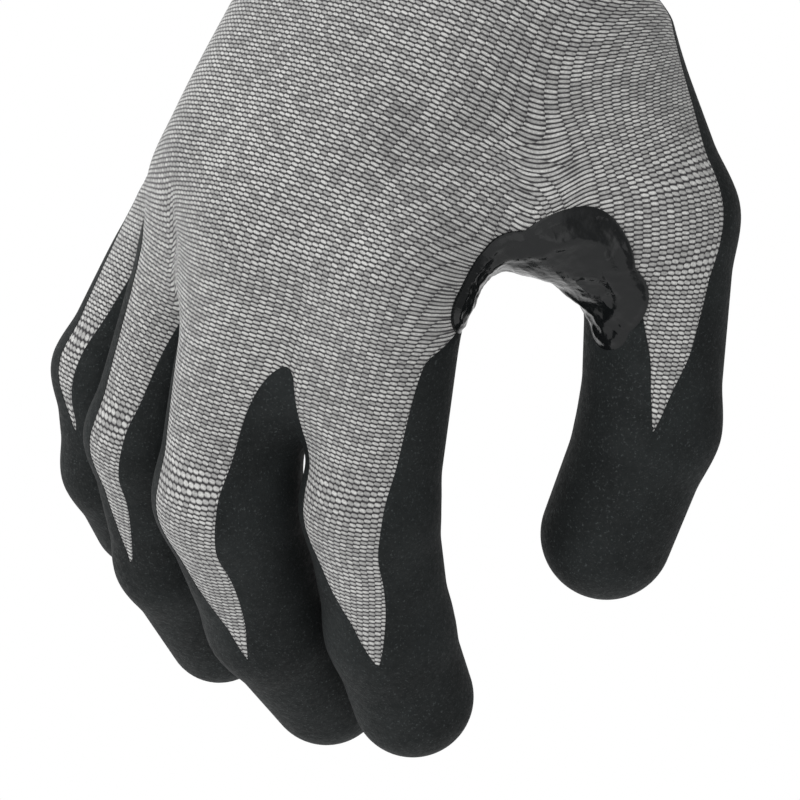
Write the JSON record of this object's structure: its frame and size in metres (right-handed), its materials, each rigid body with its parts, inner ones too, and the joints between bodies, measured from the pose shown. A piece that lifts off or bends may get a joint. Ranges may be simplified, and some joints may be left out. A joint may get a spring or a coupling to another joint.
{
  "type": "coated work glove",
  "caption": "Right-hand knitted work glove with a ribbed wrist cuff, a dipped palm and fingertip coating, a glossy thumb-crotch patch and jointed, half-closed fingers.",
  "frame": {"origin": "centre of the wrist opening, in the plane of the cuff's top edge", "axes": "+Z points out of the cuff, up the wearer's forearm; the fingers hang towards -Z. -Y is the back of the hand and +Y the palm. +X is the thumb side."},
  "size_m": [0.1174, 0.0929, 0.2152],
  "materials": {
    "liner_knit": "matte",
    "cuff_knit": "matte",
    "hem_yarn": "matte",
    "elastic_yarn": "matte",
    "palm_coating": "matte",
    "crotch_patch": "gloss"
  },
  "bodies": {
    "hand": {"cuff_rib": "cuff_knit", "cuff_elastic": "elastic_yarn", "cuff_hem": "hem_yarn", "hand_knit": "liner_knit", "palm_coating": "palm_coating", "thumb_crotch_patch": "crotch_patch"},
    "index_proximal": {"index_proximal_knit": "liner_knit", "index_proximal_coating": "palm_coating"},
    "index_middle": {"index_middle_knit": "liner_knit", "index_middle_coating": "palm_coating"},
    "index_tip": {"index_tip_knit": "liner_knit", "index_tip_coating": "palm_coating"},
    "middle_proximal": {"middle_proximal_knit": "liner_knit", "middle_proximal_coating": "palm_coating"},
    "middle_middle": {"middle_middle_knit": "liner_knit", "middle_middle_coating": "palm_coating"},
    "middle_tip": {"middle_tip_knit": "liner_knit", "middle_tip_coating": "palm_coating"},
    "ring_proximal": {"ring_proximal_knit": "liner_knit", "ring_proximal_coating": "palm_coating"},
    "ring_middle": {"ring_middle_knit": "liner_knit", "ring_middle_coating": "palm_coating"},
    "ring_tip": {"ring_tip_knit": "liner_knit", "ring_tip_coating": "palm_coating"},
    "little_proximal": {"little_proximal_knit": "liner_knit", "little_proximal_coating": "palm_coating"},
    "little_middle": {"little_middle_knit": "liner_knit", "little_middle_coating": "palm_coating"},
    "little_tip": {"little_tip_knit": "liner_knit", "little_tip_coating": "palm_coating"},
    "thumb_proximal": {"thumb_proximal_knit": "liner_knit", "thumb_proximal_coating": "palm_coating"},
    "thumb_tip": {"thumb_tip_knit": "liner_knit", "thumb_tip_coating": "palm_coating"}
  },
  "joints": [
    {"name": "index_knuckle", "type": "hinge", "parent": "hand", "child": "index_proximal", "pos_m": [0.025, 0, -0.1335], "axis": [0.9998, 0, 0.0175], "range_deg": [-32, 40], "stiffness_Nm_per_rad": 0.02},
    {"name": "index_middle_joint", "type": "hinge", "parent": "index_proximal", "child": "index_middle", "pos_m": [0.02568, 0.01998, -0.1727], "axis": [0.9998, 0, 0.0175], "range_deg": [-19, 44], "stiffness_Nm_per_rad": 0.02},
    {"name": "index_tip_joint", "type": "hinge", "parent": "index_middle", "child": "index_tip", "pos_m": [0.026, 0.03868, -0.19076], "axis": [0.9998, 0, 0.0175], "range_deg": [-9.5, 22], "stiffness_Nm_per_rad": 0.02},
    {"name": "middle_knuckle", "type": "hinge", "parent": "hand", "child": "middle_proximal", "pos_m": [0.0016, -0.009, -0.139], "axis": [1, 0, -0.0052], "range_deg": [-31, 40], "stiffness_Nm_per_rad": 0.02},
    {"name": "middle_middle_joint", "type": "hinge", "parent": "middle_proximal", "child": "middle_middle", "pos_m": [0.00137, 0.01204, -0.18214], "axis": [1, 0, -0.0052], "range_deg": [-30, 44], "stiffness_Nm_per_rad": 0.02},
    {"name": "middle_tip_joint", "type": "hinge", "parent": "middle_middle", "child": "middle_tip", "pos_m": [0.00129, 0.03691, -0.19892], "axis": [1, 0, -0.0052], "range_deg": [-15, 22], "stiffness_Nm_per_rad": 0.02},
    {"name": "ring_knuckle", "type": "hinge", "parent": "hand", "child": "ring_proximal", "pos_m": [-0.0198, -0.002, -0.137], "axis": [0.9954, 0, -0.0958], "range_deg": [-24, 40], "stiffness_Nm_per_rad": 0.02},
    {"name": "ring_middle_joint", "type": "hinge", "parent": "ring_proximal", "child": "ring_middle", "pos_m": [-0.02388, 0.01265, -0.17935], "axis": [0.9954, 0, -0.0958], "range_deg": [-32, 44], "stiffness_Nm_per_rad": 0.02},
    {"name": "ring_tip_joint", "type": "hinge", "parent": "ring_middle", "child": "ring_tip", "pos_m": [-0.02563, 0.03519, -0.19752], "axis": [0.9954, 0, -0.0958], "range_deg": [-16, 22], "stiffness_Nm_per_rad": 0.02},
    {"name": "little_knuckle", "type": "hinge", "parent": "hand", "child": "little_proximal", "pos_m": [-0.042, 0.015, -0.136], "axis": [0.9986, 0, -0.0523], "range_deg": [-8, 40], "stiffness_Nm_per_rad": 0.02},
    {"name": "little_middle_joint", "type": "hinge", "parent": "little_proximal", "child": "little_middle", "pos_m": [-0.04388, 0.01688, -0.1719], "axis": [0.9986, 0, -0.0523], "range_deg": [-40, 44], "stiffness_Nm_per_rad": 0.02},
    {"name": "little_tip_joint", "type": "hinge", "parent": "little_middle", "child": "little_tip", "pos_m": [-0.04469, 0.03121, -0.18724], "axis": [0.9986, 0, -0.0523], "range_deg": [-20, 22], "stiffness_Nm_per_rad": 0.02},
    {"name": "thumb_knuckle", "type": "hinge", "parent": "hand", "child": "thumb_proximal", "pos_m": [0.0458, 0.0334, -0.1051], "axis": [0.3608, -0.872, -0.3308], "range_deg": [-20, 24], "stiffness_Nm_per_rad": 0.02},
    {"name": "thumb_tip_joint", "type": "hinge", "parent": "thumb_proximal", "child": "thumb_tip", "pos_m": [0.05038, 0.04954, -0.13808], "axis": [0.3608, -0.872, -0.3308], "range_deg": [-40, 22], "stiffness_Nm_per_rad": 0.02}
  ],
  "couplings": [
    {"joint": "index_tip_joint", "follows": "index_middle_joint", "ratio": 0.5},
    {"joint": "middle_tip_joint", "follows": "middle_middle_joint", "ratio": 0.5},
    {"joint": "ring_tip_joint", "follows": "ring_middle_joint", "ratio": 0.5},
    {"joint": "little_tip_joint", "follows": "little_middle_joint", "ratio": 0.5}
  ]
}
